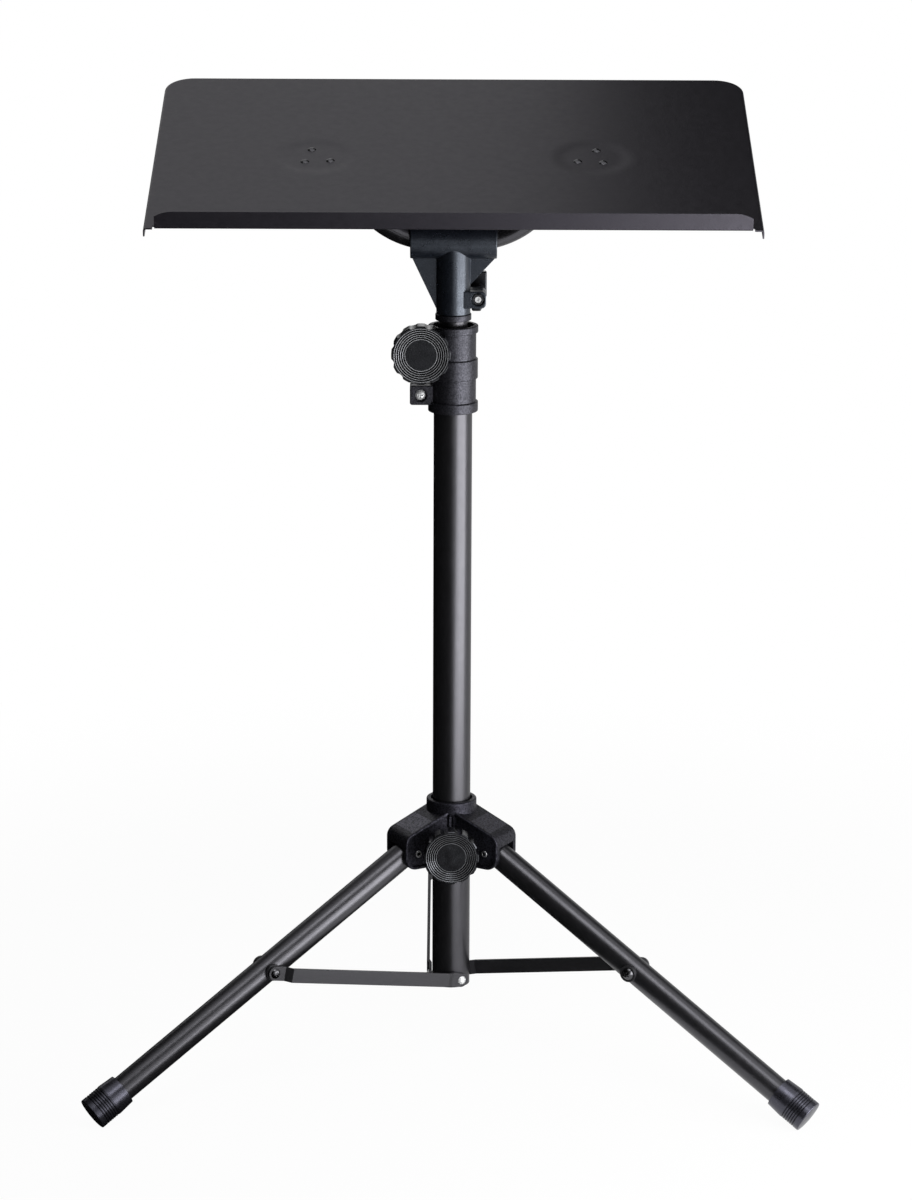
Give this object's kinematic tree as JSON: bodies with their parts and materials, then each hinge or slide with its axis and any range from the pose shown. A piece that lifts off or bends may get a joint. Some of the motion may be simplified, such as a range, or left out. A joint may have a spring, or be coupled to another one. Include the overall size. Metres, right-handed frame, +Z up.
{
  "type": "music stand",
  "caption": "Orchestra music stand: tilting sheet-metal desk with a ledge on a telescopic column, over a folding tripod of tube legs, flat struts and a sliding hub.",
  "frame": {"origin": "on the floor, under the middle of the bounding box", "axes": "+Z up along the column, +X to the reader's right, the reader stands on the -Y side"},
  "size_m": [0.6086, 0.5308, 0.8266],
  "materials": {
    "tube_black": "satin powder coat",
    "desk_black": "fine satin powder coat",
    "strut_black": "satin powder coat",
    "moulded_black": "fine grained",
    "head_black": "fine grained satin",
    "knob_black": "satin",
    "rubber_black": "matte",
    "inner_plastic": "matte",
    "steel": "bright zinc plate",
    "insert_brass": "turned"
  },
  "bodies": {
    "column": {"outer_tube": "tube_black", "column_plug": "inner_plastic", "strut_rivets": "steel", "height_collar": "moulded_black", "collar_screw": "steel", "collar_nut": "steel", "height_nut": "steel"},
    "height_knob": {"height_knob": "knob_black", "height_bolt": "steel"},
    "inner": {"inner_tube": "tube_black", "inner_glide": "inner_plastic", "neck_ring": "moulded_black"},
    "head": {"head": "head_black", "head_nut": "steel", "tilt_bush": "inner_plastic"},
    "wing_screw": {"wing_handle": "knob_black", "wing_stud": "steel"},
    "desk": {"desk_panel": "desk_black", "desk_bow": "tube_black", "desk_rivets": "desk_black"},
    "hub": {"hub": "moulded_black", "hub_insert": "insert_brass", "leg_pins": "steel"},
    "hub_knob": {"hub_knob": "knob_black", "hub_screw": "steel"},
    "leg_left": {"leg_left": "tube_black", "foot_left": "rubber_black", "pivot_bush_left": "inner_plastic", "pivot_screw_left": "steel"},
    "strut_left": {"strut_left": "strut_black", "strut_nut_left": "steel"},
    "leg_right": {"leg_right": "tube_black", "foot_right": "rubber_black", "pivot_bush_right": "inner_plastic", "pivot_screw_right": "steel"},
    "strut_right": {"strut_right": "strut_black", "strut_nut_right": "steel"},
    "leg_back": {"leg_back": "tube_black", "foot_back": "rubber_black", "pivot_bush_back": "inner_plastic", "pivot_screw_back": "steel"},
    "strut_back": {"strut_back": "strut_black", "strut_nut_back": "steel"}
  },
  "joints": [
    {"name": "height_slide", "type": "slide", "parent": "column", "child": "inner", "axis": [0, 0, 1], "range_m": [-0.003, 0.38]},
    {"name": "height_knob_turn", "type": "hinge", "parent": "column", "child": "height_knob", "pos_m": [-0.0263, -0.08243, 0.6221], "axis": [0, -1, 0], "continuous": true},
    {"name": "head_swivel", "type": "hinge", "parent": "inner", "child": "head", "pos_m": [0, -0.08243, 0.66], "axis": [0, 0, 1], "continuous": true},
    {"name": "wing_turn", "type": "hinge", "parent": "head", "child": "wing_screw", "pos_m": [0.0202, -0.08243, 0.6634], "axis": [0, 1, 0], "continuous": true},
    {"name": "desk_tilt", "type": "hinge", "parent": "head", "child": "desk", "pos_m": [0, -0.08243, 0.7118], "axis": [1, 0, 0], "range_deg": [-16.4, 68]},
    {"name": "hub_slide", "type": "slide", "parent": "column", "child": "hub", "axis": [0, 0, 1], "range_m": [0, 0.2169]},
    {"name": "hub_knob_turn", "type": "hinge", "parent": "hub", "child": "hub_knob", "pos_m": [0, -0.08243, 0.1955], "axis": [0, -1, 0], "continuous": true},
    {"name": "leg_fold_left", "type": "hinge", "parent": "hub", "child": "leg_left", "pos_m": [-0.03533, -0.10283, 0.19205], "axis": [0.5, -0.866, 0], "range_deg": [0, 58.9]},
    {"name": "leg_fold_right", "type": "hinge", "parent": "hub", "child": "leg_right", "pos_m": [0.03533, -0.10283, 0.19205], "axis": [0.5, 0.866, 0], "range_deg": [0, 58.9]},
    {"name": "leg_fold_back", "type": "hinge", "parent": "hub", "child": "leg_back", "pos_m": [0, -0.04163, 0.19205], "axis": [-1, 0, 0], "range_deg": [0, 58.9]},
    {"name": "strut_fold_left", "type": "hinge", "parent": "column", "child": "strut_left", "pos_m": [0, -0.08243, 0.0724], "axis": [-0.5, 0.866, 0], "range_deg": [0, 65.3]},
    {"name": "strut_fold_right", "type": "hinge", "parent": "column", "child": "strut_right", "pos_m": [0, -0.08243, 0.0724], "axis": [-0.5, -0.866, 0], "range_deg": [0, 65.3]},
    {"name": "strut_fold_back", "type": "hinge", "parent": "column", "child": "strut_back", "pos_m": [0, -0.08243, 0.0724], "axis": [1, 0, 0], "range_deg": [0, 65.3]}
  ],
  "couplings": [
    {"joint": "leg_fold_left", "follows": "hub_slide", "rad_per_m": 4.738},
    {"joint": "leg_fold_right", "follows": "hub_slide", "rad_per_m": 4.738},
    {"joint": "leg_fold_back", "follows": "hub_slide", "rad_per_m": 4.738},
    {"joint": "strut_fold_left", "follows": "hub_slide", "rad_per_m": 5.2453},
    {"joint": "strut_fold_right", "follows": "hub_slide", "rad_per_m": 5.2453},
    {"joint": "strut_fold_back", "follows": "hub_slide", "rad_per_m": 5.2453}
  ]
}
